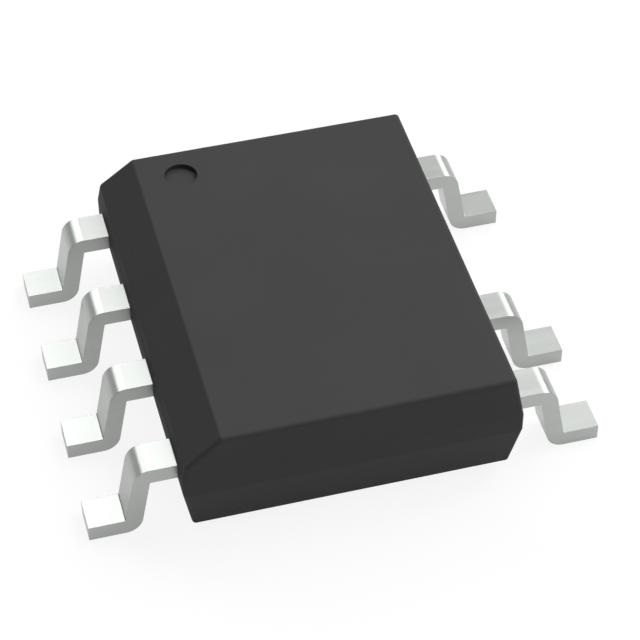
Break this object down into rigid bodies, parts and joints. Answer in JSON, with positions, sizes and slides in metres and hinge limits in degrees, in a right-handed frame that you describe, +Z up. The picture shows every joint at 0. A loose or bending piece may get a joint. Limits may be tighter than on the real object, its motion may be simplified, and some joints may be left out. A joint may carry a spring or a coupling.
{
  "type": "pwm controller chip",
  "caption": "Black moulded small-outline controller chip with a bevelled top edge, a pin-1 dimple and gull-wing leads for surface soldering.",
  "frame": {"origin": "middle of the chip's outline on the seating plane, which is the level of the feet's undersides", "axes": "+X across the leads, from the bevelled side with leads 1 to 4 to the side with leads 5, 6 and 8; +Y along the body towards leads 1 and 8; +Z up, away from the board"},
  "size_m": [0.006, 0.0048, 0.0015],
  "materials": {
    "moulding": "matte moulding compound",
    "tinned_leadframe": "satin tin plating on copper",
    "die_bond": "silver-filled resin",
    "silicon": "polished silicon",
    "bond_wire": "gold"
  },
  "bodies": {
    "root": {"mould_body": "moulding", "lead_1": "tinned_leadframe", "lead_2": "tinned_leadframe", "lead_3": "tinned_leadframe", "die_pad_lead_4": "tinned_leadframe", "lead_5": "tinned_leadframe", "lead_6": "tinned_leadframe", "lead_8": "tinned_leadframe", "die_attach": "die_bond", "silicon_die": "silicon", "bond_wire_1": "bond_wire", "bond_wire_2": "bond_wire", "bond_wire_3": "bond_wire", "bond_wire_4": "bond_wire", "bond_wire_5": "bond_wire", "bond_wire_6": "bond_wire", "bond_wire_8": "bond_wire"}
  },
  "joints": []
}
